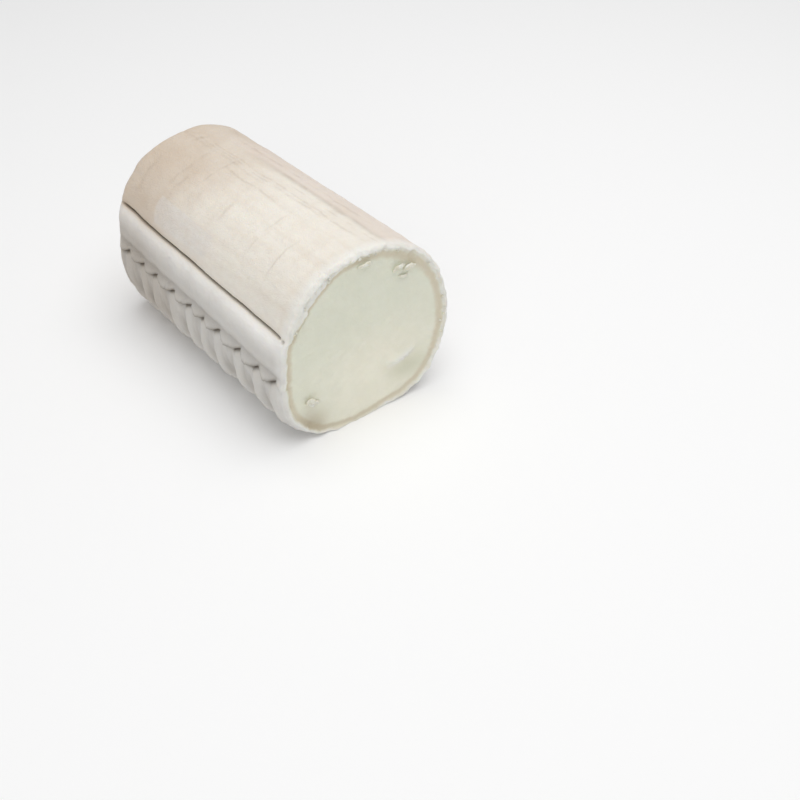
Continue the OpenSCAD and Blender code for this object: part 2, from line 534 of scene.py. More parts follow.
def line_distance(y, z, line):
    """Shortest distance from (y, z) to a line of straight pieces, with a plus sign on its left
    side and a minus sign on its right side, and how far along the line the nearest point is."""
    point = np.stack([y, z], axis=-1)
    best = np.full(y.shape, np.inf)
    sign = np.ones(y.shape)
    place = np.zeros(y.shape)
    for k in range(len(line) - 1):
        way = line[k + 1] - line[k]
        offset = point - line[k]
        t = np.clip(offset @ way / (way @ way), 0, 1)
        gap = np.linalg.norm(offset - t[..., None] * way, axis=-1)
        side = np.sign(way[0] * offset[..., 1] - way[1] * offset[..., 0])
        nearer = gap < best
        best = np.where(nearer, gap, best)
        sign = np.where(nearer, side, sign)
        place = np.where(nearer, (k + t) / (len(line) - 1), place)
    return best * sign, place


def tan_place(angle):
    """How deep the middle of the tan line lies under the skin, and half its width, in mm: a mean
    with one wave round the cut, and swellings at the upper right, upper left and lower left."""
    depth = 3.3 + 0.9 * cosine(angle) + 0.7 * swell(angle, 52, 22) + 0.9 * swell(angle, 218, 25)
    half = 1.3 + 0.25 * cosine(angle) + 0.9 * swell(angle, 52, 15) + 0.5 * swell(angle, 218, 20)
    return depth + 2.3 * swell(angle, 130, 24), half - 0.55 * swell(angle, 125, 32)


def fold_gap(angle, rim, points):
    """Distance outside the edge of the fold, which follows the tan line with some noise, and how
    strong the fold is: 1 over the upper left of the cut, 0 elsewhere."""
    gap = tan_place(angle)[0] - rim + layered(points, fold_layers)
    return gap, ease((angle - 84) / 6) * ease((164 - angle) / 20)


def rind_height(angle, rim, points):
    """The rind band and what lies along it: a proud bell-shaped band with a groove inside it,
    crumbs of rind mostly along the top, and the sunk tan line."""
    tan_depth, tan_half = tan_place(angle)
    band = band_h * bell(rim - 1.5, 0.9) * (1 + 0.7 * waves(points, 5, 21))
    groove = band_gap * bell(rim - 2.4, 0.5) * (1 + 0.8 * waves(points, 8, 28))
    crumbly = 0.26 * np.abs(waves(points, 4.2, 34)) + 0.16 * waves(points, 2.0, 35)
    crumbly *= ease((tan_depth - rim) / 1.2) * (0.5 + 0.5 * swell(angle, 90, 80))
    return band - groove + crumbly - tan_sink * bell(rim - tan_depth, tan_half)


def cut_height(angle, y, z, rim, points):
    """Height of the cut: the rind, the fold with its shadow gap, the smear, noise, and long faint
    lines where the knife dragged."""
    gap, strong = fold_gap(angle, rim, points)
    fold = strong * np.where(gap > 0, fold_h * bell(gap, 2.4), -fold_shadow * bell(gap, 0.9))
    far, along = line_distance(y, z, smear_line)
    smear = smear_h * np.where(far > 0, bell(far, smear_half[0]), bell(far, smear_half[1]))
    smear *= sine(180 * np.clip(along, 0.02, 0.98)) ** 0.5 * (np.abs(far) < 6)
    drag = np.stack([0 * y, 0.25 * (y + 0.35 * z), z - 0.35 * y], axis=-1)
    uneven_cut = layered(points, flat_layers) + drag_h * waves(drag, 2.6, 30)
    return rind_height(angle, rim, points) + fold + smear + uneven_cut


print("depth of the tan line at the top, mm:", tan_place(90.0)[0].round(1))

# %% [markdown]
# ## Points of the skin
#
# Now the radius of every point comes together from the section and all reliefs. Each is worked out
# over the whole grid and fades where it doesn't belong: before the shut end, and inwards on the
# cut. Along the torn rim the skin is nibbled.

# %% Points of the skin
nibble_layers = ((0.20, 3.6, 31), (0.14, 1.9, 32), (0.12, 11, 33))
nibble_reach = 1.8
# Direction and depth of the larger bites, and their half width in degrees.
bites = ((11.0, 0.35), (33.0, 0.3), (57.0, 0.3), (118.0, 0.3))
bite_half = 2.8
# Share of the far flank's relief that is left at the cut.
far_at_cut = 0.3


def rim_nibble(angle, behind, points):
    """Small bites and crumbly bumps of the rind along the edge of the cut, gone 2 mm behind it."""
    ragged = layered(points, nibble_layers)
    ragged -= sum(size * swell(angle, at, bite_half) for at, size in bites)
    return ragged * bell(behind, nibble_reach)


angle = row_angles(ring_behind)
behind = np.repeat(ring_behind[:, None], angle.shape[1], axis=1)
inset = ring_inset[:, None]
share = ring_share[:, None]
radius = plain_radius(angle, behind)
skin_points = np.stack([-behind, radius * cosine(angle), radius * sine(angle)], axis=-1)
seam_now = seam_angle(behind)
below_near = run(turn(angle, seam_now))
below_far = run(turn(mirrored(seam_now), angle))
end_fade = ease((log_l - 0.5 - behind) / 7)

far_begun = mix(far_at_cut, 1.0, ease(behind / 12))

relief = flank_relief(below_near, behind, hem_start, 1.0) * (below_near > -8)
relief += flank_relief(below_far, behind, far_start, 0.0) * (below_far > 0) * far_begun
seam_part = seam_relief(below_near, behind)
creases = top_creases(angle, behind, skin_points)
relief = (relief + seam_part) * end_fade + creases + layered(skin_points, dent_layers)
relief += rim_nibble(angle, behind, skin_points)
relief *= ease(1.1 - np.maximum(inset - cut_lip, 0) / rim_zone * (behind < 1))
reach = (radius + relief * share - inset) * share
print("relief of the skin, mm:", relief.min().round(2), "to", relief.max().round(2))

# %% [markdown]
# ## Points of the cut and of the shut end
#
# The cut leans, because the knife didn't run square to the axis. The shut end is where the
# wrapping was gathered, so it is a shallow dome with faint puckers that run in from its edge. The
# underside is pressed flat with a soft floor, so it meets its resting plane without a sharp line.

# %% Points of both ends
cut_yaw = 6.1
cut_lean = 3.9
floor_softness = 0.22
end_layers = ((0.32, 15, 41), (0.13, 4.5, 42))
pucker_layers = ((0.40, 4.5, 43), (0.16, 1.8, 44))


def soft_floor(z):
    """z where it is above the resting plane, and the plane where z is below it, with a smooth
    turn between: plane + k ln(1 + exp((z - plane) / k))."""
    over = np.clip((z - rest_z) / floor_softness, -40, 40)
    return np.where(over > 30, z, rest_z + floor_softness * np.log1p(np.exp(over)))


def lean_of(y, z):
    """How far the leaning cut lies in front of or behind its middle."""
    return y * np.tan(np.radians(cut_yaw)) - z * np.tan(np.radians(cut_lean))


rim = np.where(behind > 0, -behind, inset + (1 - share) * (radius - inset))
y = reach * cosine(angle)
z = reach * sine(angle)
face_points = np.stack([0 * y, y, z], axis=-1)
on_cut = np.where(ring_behind > 0, ring_inset / cut_lip, 1.0) * (ring_behind < cut_lip + 0.01)
height = cut_height(angle, y, z, np.maximum(rim, 0), face_points) * on_cut[:, None]
dome = back_dome * (1 - share ** 2) * (behind >= log_l)
around_edge = np.stack([7 * cosine(angle), 7 * sine(angle), 0.03 * reach], axis=-1)
pucker = layered(around_edge, pucker_layers) * ease((share - 0.25) / 0.6)
pucker += layered(face_points, end_layers)
height = height - dome + pucker * ease((behind - log_l + back_round) / back_round)
z = soft_floor(z)
along = height - behind + lean_of(y, z) * (1 - behind / log_l)
points = np.stack([along, y, z], axis=-1) + axis_at_cut
print("log, mm:", points.min(axis=(0, 1)).round(1), points.max(axis=(0, 1)).round(1))

# %% [markdown]
# ## From rings to a mesh
#
# Blender needs points and faces. The function below makes both for any closed sheet of rings, so
# the log, the curls and the crumbs all use it. Numbers for the materials go in as attributes, so
# that colours stay tied to the creases they belong to.

# %% Build a mesh from rings
def new_object(name, data):
    """A new object in the scene, made of a mesh, a lamp or a camera."""
    made = bpy.data.objects.new(name, data)
    bpy.context.scene.collection.objects.link(made)
    return made


def closed_sheet(name, rings, first, last, masks):
    """One closed mesh: four-sided faces between neighbouring rings, and a fan of triangles from the
    first and the last point. masks are named arrays with one number for each point of the rings,
    and the end points take the mean of the ring beside them."""
    count, rows = rings.shape[:2]
    coords = np.concatenate([rings.reshape(-1, 3), [first, last]]) * MM
    here = np.arange(count * rows).reshape(count, rows)
    beside = np.roll(here, -1, axis=1)
    quads = np.stack([here[:-1], here[1:], beside[1:], beside[:-1]], axis=-1).reshape(-1, 4)
    fan_first = np.stack([np.full(rows, count * rows), here[0], beside[0]], axis=-1)
    fan_last = np.stack([np.full(rows, count * rows + 1), beside[-1], here[-1]], axis=-1)
    mesh = bpy.data.meshes.new(name)
    faces = quads.tolist() + fan_first.tolist() + fan_last.tolist()
    mesh.from_pydata(coords.tolist(), [], faces)
    mesh.validate()
    for label, values in masks.items():
        layer = mesh.attributes.new(label, "FLOAT", "POINT")
        ends = [values[0].mean(), values[-1].mean()]
        layer.data.foreach_set("value", np.concatenate([values.ravel(), ends]).astype(np.float32))
    mesh.shade_smooth()
    return new_object(name, mesh)


# %% [markdown]
# ## Masks
#
# A mask is a number for each point, mostly 0 to 1, that says where a colour goes. Masks painted by
# hand fit one mesh only. These come from the same lines as the shape, so they move with it. Those
# of the skin come first.

# %% Masks of the skin
under_hem = below_near - hem_end(behind, hem_start)
hem_share = scallop_share(behind, hem_start)[0]
on_side = np.where(behind > log_l / 2, ease((log_l + 0.2 - behind) / 4) * share ** 2, 1.0)
wander = layered(skin_points, ((5, 24, 51), (1.5, 7, 52)))
degrees = angle % 360

# Painted shade in the crease under the roll and in the pleats' furrows, darker where the skin sinks
# deeper.
crease_shade = 0.5 * bell(below_near - roll_end(behind), 2.0) * end_fade
under_roll = ease((below_near - 18) / 6) * ease((44 - below_near) / 8)
furrow_shade = np.clip(-relief / 1.6, 0, 1) * under_roll
# Painted shade in the creases of the top, darker where a crease is deeper, and along the long
# crease near 71 degrees.
top_shade = 0.7 * bell(run(turn(angle, 71.5)), 1.3) * ease((85 - behind) / 20)
# Both flanks take a greyer skin: partly the rind's own grey, partly painted shade on the sides that
# turn away from the lamp above.
near_flank = ease(below_near / 2) * ease((64 - below_near) / 24)
far_flank = ease((below_far + 6) / 16) * ease((64 - below_far) / 24)
patch_along = ease((behind + wander - 52) / 8) * ease((92 + 0.4 * wander - behind) / 2)
patch_round = ease((angle - 100 - 0.5 * wander) / 5) * ease((152 - angle) / 6)
# Painted highlight on the upper roll just under the seam, strongest near the cut.
roll_light = (1 - ease((below_near - 3) / 8)) * (below_near > -8)

masks = {
    "behind": behind,
    "around": run(degrees),
    # Darker in the seam slot: painted shade, with some dirt.
    "seam_dirt_and_shade": np.clip(-seam_part / seam_depth, 0, 1) * end_fade,
    # Painted shadow in the gap under the hem.
    "hem_shadow": bell(under_hem - 0.4, 1.0) * undercut(hem_share) * (behind > 2) * end_fade,
    "crease_and_furrow_shade": crease_shade + furrow_shade,
    "top_crease_shade": np.clip(-creases / 0.2, 0, 1) * on_side + top_shade,
    "roll_highlight": roll_light * mix(1.0, 0.6, ease((behind - 15) / 30)),
    "flank": (near_flank + far_flank) * on_side,
    "end": 1 - on_side,
    "bloom_patch": patch_along * patch_round,
    "far_band": ease((73 - degrees) / 3) * ease((degrees - 15) / 20) * ease((112 - behind) / 30),
}
print("masks of the skin:", ", ".join(masks))

# %% [markdown]
# The masks of the cut follow. Two of them are distances: how deep a point lies under the skin, and
# how far from the middle of the tan line, in half widths of that line.

# %% Masks of the cut
tan_depth, tan_half = tan_place(angle)
fold_out, fold_strong = fold_gap(angle, rim, face_points)
smear_gap, smear_place = line_distance(y, z, smear_line)
inside = rim > 0
masks.update({
    "rim": rim,
    "tan_line": (rim - tan_depth) / tan_half,
    # Painted shade in the shallow groove between the rind's proud lip and the rest of its band.
    "rind_groove_shade": bell(rim - 1.9, 0.35) * ease(0.6 + waves(face_points, 9, 29)),
    # Painted shadow in the gap under the fold at the upper left.
    "fold": bell(fold_out + 0.3, 0.6) * fold_strong * inside * mix(0.2, 1.0, swell(angle, 102, 22)),
    # Painted highlight along the smear ridge.
    "smear": bell(smear_gap, 1.6) * sine(180 * smear_place) ** 0.5 * inside,
    # Painted reflected light: the paste lighter and warmer low down on the cut.
    "bounce_light": ease((14 - z + 0.1 * y) / 28) * bell(y - 4, 26),
    # Painted shade: darker, greener paste in a patch below the smear ridge.
    "under_smear_shade": bell(np.hypot((y - 17) / 9, (z + 20) / 6), 1) * inside,
    # Brown at the lower left where the tan line widens, partly painted shade.
    "low_left_brown_and_shade": bell(np.hypot(y + 27.5, z + 28), 6.5) * inside,
})

first_point = axis_at_cut + [height[0].mean(), 0, 0]
last_point = axis_at_cut - [log_l + back_dome, 0, 0]
log = closed_sheet("goat_cheese_log", points, first_point, last_point, masks)
print("triangles of the log:", sum(len(p.vertices) - 2 for p in log.data.polygons))

# %% [markdown]
# ## Helpers for materials
#
# Fresh cheese is matte, dense and slightly translucent. Light enters it, scatters and comes out
# warmer, so a little subsurface scattering softens the creases. Its colours are mixed in node
# trees, and a few helpers keep each step of that to one line.

# %% Helpers for node trees
def linear(red, green, blue):
    """Scene colour of a screen colour with channels 0 to 255: ((c + 0.055) / 1.055) ^ 2.4."""
    c = np.array([red, green, blue]) / 255
    return (*np.where(c > 0.04045, ((c + 0.055) / 1.055) ** 2.4, c / 12.92), 1.0)


def connect(tree, value, socket):
    """Connects another node's output to a socket, or sets the socket to a plain value."""
    if isinstance(value, bpy.types.NodeSocket):
        tree.links.new(value, socket)
    else:
        socket.default_value = value


def add(tree, kind, inputs, **settings):
    """Adds a node. inputs gives what goes into its sockets, by name or number."""
    made = tree.nodes.new(kind)
    for name, value in settings.items():
        setattr(made, name, value)
    for key, value in inputs.items():
        connect(tree, value, made.inputs[key])
    return made


def calc(tree, operation, *values):
    """Result of a Math node."""
    return add(tree, "ShaderNodeMath", dict(enumerate(values)), operation=operation).outputs[0]


def plus(tree, p, q):
    """p + q."""
    return calc(tree, "ADD", p, q)


def times(tree, p, q):
    """p times q."""
    return calc(tree, "MULTIPLY", p, q)


def step(tree, value, low, high, start=0.0, end=1.0):
    """start where value is low or less, end where it is high or more, a smooth change between."""
    inputs = {"Value": value, "From Min": low, "From Max": high, "To Min": start, "To Max": end}
    return add(tree, "ShaderNodeMapRange", inputs, interpolation_type="SMOOTHSTEP").outputs[0]


def mask(tree, name):
    """The value of a mesh attribute."""
    return add(tree, "ShaderNodeAttribute", {}, attribute_name=name).outputs["Fac"]


def speckle(tree, where, scale, detail, rough):
    """Noise from 0 to 1 with scale spots to a metre."""
    inputs = {"Vector": where, "Scale": scale, "Detail": detail, "Roughness": rough}
    return add(tree, "ShaderNodeTexNoise", inputs).outputs["Fac"]


def noise(tree, where, size, detail=3.0, rough=0.55):
    """Noise from 0 to 1 with spots about size mm wide."""
    return speckle(tree, where, 1 / (size * MM), detail, rough)


def shift(tree, value, size):
    """Turns noise from 0 to 1 into a shift of size mm in all: (value - 0.5) times size."""
    return times(tree, plus(tree, value, -0.5), size)


def squeezed(tree, where, factors):
    """Coordinates multiplied by a factor for each axis, which draws noise out along an axis."""
    inputs = {0: where, 1: factors}
    return add(tree, "ShaderNodeVectorMath", inputs, operation="MULTIPLY").outputs[0]


def blend(tree, amount, p, q):
    """Colour p where amount is 0, q where it is 1."""
    made = add(tree, "ShaderNodeMix", {"Factor": amount}, data_type="RGBA")
    colors = [s for s in made.inputs if s.type == "RGBA"]
    connect(tree, p, colors[0])
    connect(tree, q, colors[1])
    return [s for s in made.outputs if s.type == "RGBA"][0]


def coats(tree, base, layers):
    """Colours laid over a base one after another, as thin coats of paint. Each layer is its mask
    (an attribute's name or another node's output), its strength and its colour."""
    for amount, strength, color in layers:
        if isinstance(amount, str):
            amount = mask(tree, amount)
        base = blend(tree, times(tree, amount, strength), base, color)
    return base


print("middle grey in scene colour:", round(linear(128, 128, 128)[0], 3))

# %% [markdown]
# ## Curd
#
# Rind, paste and crumbs have the same powdery, slightly curdy surface. It is a node group, built
# once: it gives a height for a Bump node, and a mottle from 0 to 1 that shifts colour and gloss.

# %% Node group: curd
def build_curd():
    """A group with the inputs Position, Grain (spot size in mm) and Pits (how deep the dents are).
    Height adds fine grain, coarse grain and dents. Mottle is coarse noise with fine noise in it."""
    group = bpy.data.node_groups.new("curd", "ShaderNodeTree")
    kinds = {"Position": "NodeSocketVector", "Grain": "NodeSocketFloat", "Pits": "NodeSocketFloat"}
    for name, kind in kinds.items():
        group.interface.new_socket(name, in_out="INPUT", socket_type=kind)
    for name in ("Height", "Mottle"):
        group.interface.new_socket(name, in_out="OUTPUT", socket_type="NodeSocketFloat")
    given = group.nodes.new("NodeGroupInput").outputs
    scale = calc(group, "DIVIDE", 1 / MM, given["Grain"])
    fine = speckle(group, given["Position"], scale, 4.0, 0.6)
    coarse = speckle(group, given["Position"], times(group, scale, 0.22), 4.0, 0.5)
    cells = {"Vector": given["Position"], "Scale": times(group, scale, 0.45)}
    cells = add(group, "ShaderNodeTexVoronoi", cells).outputs["Distance"]
    pits = times(group, step(group, cells, 0.0, 0.22), given["Pits"])
    put = group.nodes.new("NodeGroupOutput").inputs
    connect(group, plus(group, plus(group, fine, times(group, coarse, 0.8)), pits), put["Height"])
    connect(group, plus(group, times(group, coarse, 0.7), times(group, fine, 0.3)), put["Mottle"])
    return group


curd_group = build_curd()


def curd(tree, where, grain, pits):
    """Places the curd group in a material and returns its height and its mottle."""
    inputs = {"Position": where, "Grain": grain, "Pits": pits}
    made = add(tree, "ShaderNodeGroup", inputs, node_tree=curd_group)
    return made.outputs["Height"], made.outputs["Mottle"]


cheese_finish = {
    "Subsurface Weight": 0.2, "Subsurface Radius": (1.0, 0.8, 0.55), "Subsurface Scale": 1.2 * MM,
    "Specular IOR Level": 0.35, "Sheen Weight": 0.08, "Sheen Roughness": 0.6,
}


def cheese_shader(material, color, roughness, height, depth):
    """Connects colour, roughness and a bump depth mm deep to the Principled shader, and sets what
    is the same for everything made of cheese: scattering, gloss and a faint sheen of bloom."""
    tree = material.node_tree
    shader = tree.nodes["Principled BSDF"].inputs
    bump = add(tree, "ShaderNodeBump", {"Height": height, "Distance": depth * MM, "Strength": 1.0})
    connect(tree, color, shader["Base Color"])
    connect(tree, roughness, shader["Roughness"])
    connect(tree, bump.outputs["Normal"], shader["Normal"])
    for name, value in cheese_finish.items():
        shader[name].default_value = value


print("nodes in the curd group:", len(curd_group.nodes))

# %% [markdown]
# ## Hairlines
#
# Faint dark lines run along the log and round it, most of them on its creases: painted shade in
# fine creases. They are finer than the mesh, so they are colour and bump. Each is a bell curve
# across a line, ends softly, and is bent and broken by noise, because an even line looks drawn on.

# %% Hairlines of the skin
line_bend = 5.0
line_fade = 6.0
# Direction, half width in mm, and where it starts and stops behind the cut.
lines_along = ((87.6, 0.9, 58, 116), (84.6, 0.6, 30, 112), (82.0, 0.5, 8, 100), (71.6, 0.9, 4, 64),
               (76.5, 0.5, 2, 50), (94.0, 0.5, 40, 80), (64.0, 0.8, 20, 95))
# Distance behind the cut, half width in mm, and the directions where it starts and stops.
lines_round = ((105.5, 0.9, 78, 95), (107.0, 1.0, 112, 140), (92.5, 1.0, 94, 122),
               (88.3, 0.8, 108, 134), (80.5, 0.6, 84, 112), (58.3, 0.8, 104, 128),
               (36.0, 0.5, 96, 126), (21.0, 0.5, 110, 140))


def hairline(tree, across, at, half, along, start, stop):
    """A bell curve of across - at over half mm, between start and stop along the line."""
    gap = times(tree, plus(tree, across, -at), 1 / half)
    line = calc(tree, "POWER", np.e, times(tree, times(tree, gap, gap), -1.0))
    begun = step(tree, along, start - line_fade, start + line_fade)
    left = step(tree, along, stop - line_fade, stop + line_fade, 1.0, 0.0)
    return times(tree, line, times(tree, begun, left))


def hairlines(tree, where):
    """Sum of all lines, bent by broad noise and broken by fine noise."""
    behind_cut = mask(tree, "behind")
    around = mask(tree, "around")
    bend = shift(tree, noise(tree, where, 18, 4.0), line_bend)
    bent_behind = plus(tree, behind_cut, bend)
    bent_around = plus(tree, around, bend)
    total = 0.0
    for at, half, start, stop in lines_along:
        line = hairline(tree, bent_around, float(run(at)), half, behind_cut, start, stop)
        total = plus(tree, total, line)
    for at, half, start, stop in lines_round:
        start, stop = float(run(start)), float(run(stop))
        total = plus(tree, total, hairline(tree, bent_behind, at, half, around, start, stop))
    return times(tree, total, step(tree, noise(tree, where, 6), 0.35, 0.6))


print("hairlines:", len(lines_along) + len(lines_round))

# %% [markdown]
# ## Colours of the skin
#
# The rind is cream above and greyer on the flank, partly as painted shade, and goes tan towards the
# shut end, where it dried longer. One material covers skin and cut, because they meet at a torn
# edge.
# The skin is laid down first, in coats: broad bands, streaks, the grey flank with a painted
# highlight on the roll, the shut end, and painted shade in the creases, the seam and under the hem
# last.

# %% Skin
cream = linear(243, 237, 226)
tan = linear(212, 195, 176)
pink_skin = linear(233, 219, 207)
bloom_skin = linear(232, 229, 226)
# Greys of the flank, partly painted shade, darker towards the shut end.
front_grey = linear(211, 209, 205)
back_grey = linear(190, 184, 176)
# Colour of the painted highlight on the roll.
roll_highlight_white = linear(250, 248, 245)
end_tan = linear(220, 206, 190)
# White of the rind's lip near the cut, also used as a painted highlight on the smear.
lip_white_and_highlight = linear(244, 243, 238)
# Colour of the painted shade along fine creases.
crease_line_shade = linear(168, 148, 126)
# Colour of painted shade in the creases, the seam and under the hem.
painted_shade_color = linear(112, 101, 86)

cheese = bpy.data.materials.new("cheese")
cheese.use_nodes = True
tree = cheese.node_tree
where = add(tree, "ShaderNodeTexCoord", {}).outputs["Object"]
grain_height, mottle = curd(tree, where, 0.55, 0.25)
drift = shift(tree, noise(tree, where, 22), 70.0)
age = step(tree, plus(tree, mask(tree, "behind"), drift), 42.0, 125.0)
tear = shift(tree, noise(tree, where, 2.2), 1.6)
lines = hairlines(tree, where)

along_log = noise(tree, squeezed(tree, where, (0.1, 1.0, 1.0)), 4.5)
round_log = noise(tree, squeezed(tree, where, (1.0, 0.12, 0.12)), 6.0)
# Flank grey, darker towards the shut end, under a painted highlight on the upper roll.
grey = blend(tree, mask(tree, "roll_highlight"), blend(tree, age, front_grey, back_grey), roll_highlight_white)
end_bloom = step(tree, noise(tree, where, 16), 0.30, 0.72)
end_skin = coats(tree, end_tan, [(end_bloom, 0.7, bloom_skin)])
near_cut = step(tree, plus(tree, mask(tree, "behind"), tear), 1.0, 6.0, 1.0, 0.0)
skin = coats(tree, blend(tree, age, cream, tan), (
    ("far_band", 0.7, pink_skin),
    ("bloom_patch", 0.45, bloom_skin),
    (step(tree, along_log, 0.42, 0.68), 0.16, tan),
    (step(tree, round_log, 0.48, 0.7), 0.12, tan),
    (step(tree, mottle, 0.42, 0.66), 0.1, tan),
    # Grey flank: partly the rind's own colour, partly painted shade.
    ("flank", 0.8, grey),
    ("end", 0.85, end_skin),
    # Painted shade in the creases of the top.
    ("top_crease_shade", 0.2, painted_shade_color),
    # Painted shade along fine creases.
    (lines, 0.2, crease_line_shade),
    # Painted shade in the crease and the furrows.
    ("crease_and_furrow_shade", 0.38, painted_shade_color),
    # Painted shadow under the hem.
    ("hem_shadow", 0.85, painted_shade_color),
    # Painted shade and some dirt in the seam.
    ("seam_dirt_and_shade", 0.75, painted_shade_color),
    (near_cut, 0.6, lip_white_and_highlight),
))
print("nodes so far:", len(tree.nodes))

# %% [markdown]
# ## Colours of the cut
#
# The paste is a pale cream with a faint green-grey cast. Painted reflected light makes it lighter
# and warmer low down, painted shade darkens it below the smear, and a painted highlight lies on the
# smear ridge. Under the rind it dries to a tan line, and the rind itself is white and torn. Painted
# shade also lies in the gap under the fold, in a groove of the rind and in part of the brown at the
# lower left.
# Noise shifts the edges of these bands, and the distance from the skin decides where skin ends and
# cut begins.

# %% Cut
paste = linear(234, 235, 218)
# Colour of the paste under painted reflected light.
bounce_lit_paste = linear(249, 245, 228)
# Darker paste for the painted shade below the smear and for the curds' own mottle.
shade_and_curd_paste = linear(214, 214, 190)
# Tan of the tan line, also used for the painted shade in the rind's groove.
tan_and_groove_shade = linear(217, 205, 181)
# Brown of the rind at the lower left, also used for painted shade there and under the fold.
brown_and_shade = linear(176, 160, 132)
white_rind = linear(240, 239, 233)

half_tear = times(tree, tear, 0.5)
across_tan = mask(tree, "tan_line")
off_tan = calc(tree, "ABSOLUTE", across_tan)
on_tan = step(tree, plus(tree, off_tan, half_tear), 0.2, 1.7, 1.0, 0.0)
outside_tan = step(tree, plus(tree, across_tan, half_tear), -1.5, -0.6, 1.0, 0.0)
curds = step(tree, noise(tree, where, 7, 4.0, 0.65), 0.35, 0.65)
cut = coats(tree, paste, (
    # Painted reflected light low on the cut.
    ("bounce_light", 1.0, bounce_lit_paste),
    # Painted shade below the smear.
    ("under_smear_shade", 0.7, shade_and_curd_paste),
    (on_tan, 0.8, tan_and_groove_shade),
    # The tan line's brown at the lower left, partly painted shade.
    ("low_left_brown_and_shade", 0.75, brown_and_shade),
    (outside_tan, 1.0, white_rind),
    # Painted shadow under the fold.
    ("fold", 0.85, brown_and_shade),
    # Painted shade in the rind's groove.
    ("rind_groove_shade", 0.35, tan_and_groove_shade),
    (curds, 0.15, shade_and_curd_paste),
    # Painted highlight on the smear ridge.
    ("smear", 0.85, lip_white_and_highlight),
))

depth = plus(tree, mask(tree, "rim"), tear)
color = blend(tree, step(tree, depth, -0.6, 0.5), skin, cut)
roughness = plus(tree, times(tree, mottle, 0.25), 0.5)
cheese_shader(cheese, color, roughness, plus(tree, grain_height, times(tree, lines, -0.35)), 0.32)
log.data.materials.append(cheese)
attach(log, "root")
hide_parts("cheese_log")
print("nodes of the cheese material:", len(tree.nodes))

# %% [markdown]
# ## Curls and crumbs
#
# The knife tore small pieces off the rind and pressed them on the cut. A curl is a thin strip that
# bends round on itself, thickest in the middle and pointed at both ends. A crumb is a small lump.
# They lie on the cut with a shadow under them, so bumps wouldn't do, and they are pieces of their
# own: closed sheets of rings like the log.

# %% Shapes of curls and crumbs
def on_cut_place(spots):
    """Points on the cut, from their y, z and height over the cut."""
    spots = np.asarray(spots, dtype=float)
    ahead = spots[..., 2] + lean_of(spots[..., 0], spots[..., 1])
    return axis_at_cut + np.stack([ahead, spots[..., 0], spots[..., 1]], axis=-1)


def curl_path(middle, radius, start, stop, rise):
    """An arc on the cut from one direction to another that rises off it by a half sine."""
    place = np.linspace(0, 1, 26)
    now = mix(start, stop, place)
    y = middle[0] + radius[0] * cosine(now)
    z = middle[1] + radius[1] * sine(now)
    return np.stack([y, z, 0.2 + rise * sine(180 * place)], axis=-1)


def curl_rings(path, width, thickness, seed):
    """A strip along a path of points: oval rings across the path, whose size is a sine to the
    power 0.6 from end to end, with noise on the size."""
    path = on_cut_place(path)
    along = np.gradient(path, axis=0)
    along /= np.linalg.norm(along, axis=1)[:, None]
    side = np.cross(along, [1.0, 0.0, 0.0])
    side /= np.linalg.norm(side, axis=1)[:, None]
    up = np.cross(side, along)
    size = sine(180 * np.clip(np.linspace(0, 1, len(path)), 0.03, 0.97)) ** 0.6
    turns = np.linspace(0, 360, 25)[:-1]
    wide = side[:, None] * (width * cosine(turns))[None, :, None]
    thick = up[:, None] * (thickness * sine(turns))[None, :, None]
    ring = (wide + thick) * size[:, None, None]
    rough = 1 + layered(path[:, None] + ring, ((0.25, 2.4, seed), (0.12, 1.0, seed + 1)))
    return path[:, None] + ring * rough[..., None]


def lump_rings(middle, size, seed):
    """A ball of rings, drawn out to its three half sizes and dented by noise."""
    down = np.linspace(8, 172, 11)[:, None]
    turns = np.linspace(0, 360, 19)[:-1][None, :]
    sides = (sine(down) * cosine(turns), sine(down) * sine(turns))
    ball = np.stack([cosine(down) + 0 * turns, *sides], axis=-1)
    rough = 1 + layered(ball, ((0.4, 1.6, seed), (0.2, 0.7, seed + 1)))
    return on_cut_place(middle) + ball * rough[..., None] * np.asarray(size)


print("a spot 1 mm over the cut, mm:", on_cut_place((0, 0, 1)).round(2))

# %% [markdown]
# The scraps are of dry rind and moist paste, so their material is the same curd with a finer grain.
# Scraps of one kind are joined into one object, which keeps the list of pieces short.

# %% Material and maker of scraps
dry_scrap = linear(238, 236, 226)
moist_scrap = linear(220, 216, 196)

scraps = bpy.data.materials.new("scraps")
scraps.use_nodes = True
tree = scraps.node_tree
where = add(tree, "ShaderNodeTexCoord", {}).outputs["Object"]
grain_height, mottle = curd(tree, where, 0.4, 0.4)
color = blend(tree, step(tree, mottle, 0.35, 0.65), dry_scrap, moist_scrap)
cheese_shader(scraps, color, 0.6, grain_height, 0.15)


def scrap_piece(name, ring_sets):
    """One object with several closed scraps."""
    made = []
    for k, rings in enumerate(ring_sets):
        middles = rings[0].mean(axis=0), rings[-1].mean(axis=0)
        made.append(closed_sheet(f"{name}_{k}", rings, *middles, {}))
    with bpy.context.temp_override(active_object=made[0], selected_editable_objects=made):
        bpy.ops.object.join()
    made[0].name = name
    made[0].data.materials.append(scraps)
    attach(made[0], "root")
    print(name, "is made of", len(ring_sets), "scraps")


# %% [markdown]
# A tight curl with a few lumps in it lies at the lower left. Two open curls lie at the upper right,
# and a flap ends the fold at the top. Crumbs lie thickest along the upper edge of the cut, where
# the knife went in, with a few on the right edge.

